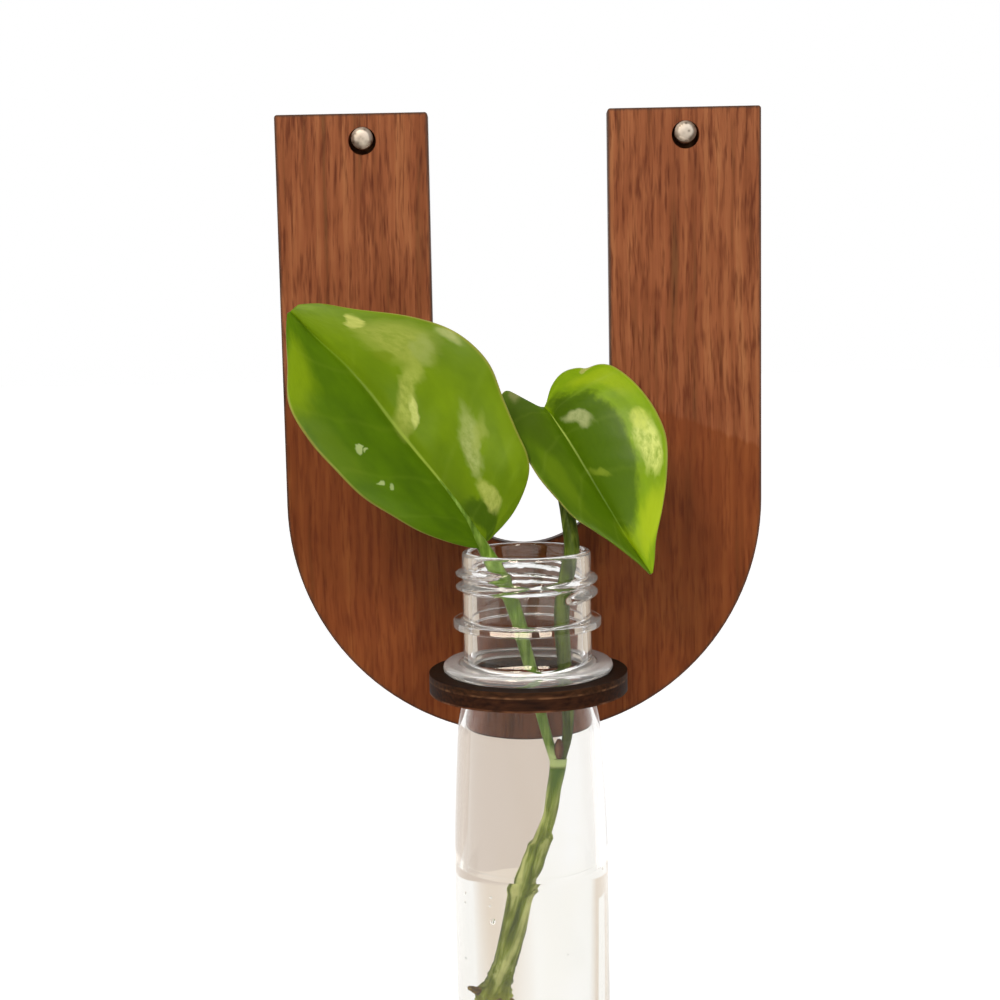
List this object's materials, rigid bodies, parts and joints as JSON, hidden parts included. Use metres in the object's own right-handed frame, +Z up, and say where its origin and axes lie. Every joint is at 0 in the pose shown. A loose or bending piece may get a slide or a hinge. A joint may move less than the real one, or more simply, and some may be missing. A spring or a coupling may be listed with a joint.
{
  "type": "wall propagation vase",
  "caption": "Wall-hung propagation vase: U-shaped wooden plate with a small round shelf that holds a clear tube of water by its collar, with a leafy cutting rooting in it.",
  "frame": {"origin": "on the wall plane, which is the plate's back face, midway across the plate and level with the nails", "axes": "+X to the viewer's right, +Y into the wall, +Z up"},
  "size_m": [0.098, 0.0661, 0.2376],
  "materials": {
    "plate_wood": "satin",
    "shelf_wood_dark": "matte",
    "shelf_wood": "matte",
    "clear_tube": "polished",
    "water": "polished",
    "nail_steel": "satin",
    "stem": "satin",
    "leaf_stalk": "satin",
    "leaf": "satin",
    "root": "matte"
  },
  "bodies": {
    "hanger": {"back_plate": "plate_wood", "shelf_ring_upper": "shelf_wood_dark", "shelf_ring_lower": "shelf_wood", "left_nail": "nail_steel", "right_nail": "nail_steel"},
    "tube": {"tube": "clear_tube", "water": "water"},
    "cutting": {"main_stem": "stem", "left_leaf_stalk": "leaf_stalk", "right_leaf_stalk": "leaf_stalk", "left_leaf": "leaf", "right_leaf": "leaf", "root_buds": "root"}
  },
  "joints": [
    {"name": "tube_lift", "type": "slide", "parent": "hanger", "child": "tube", "axis": [0, 0, 1], "range_m": [0, 0.13]},
    {"name": "cutting_lift", "type": "slide", "parent": "tube", "child": "cutting", "axis": [0, 0, 1], "range_m": [0, 0.095], "deforming": ["water"]}
  ]
}
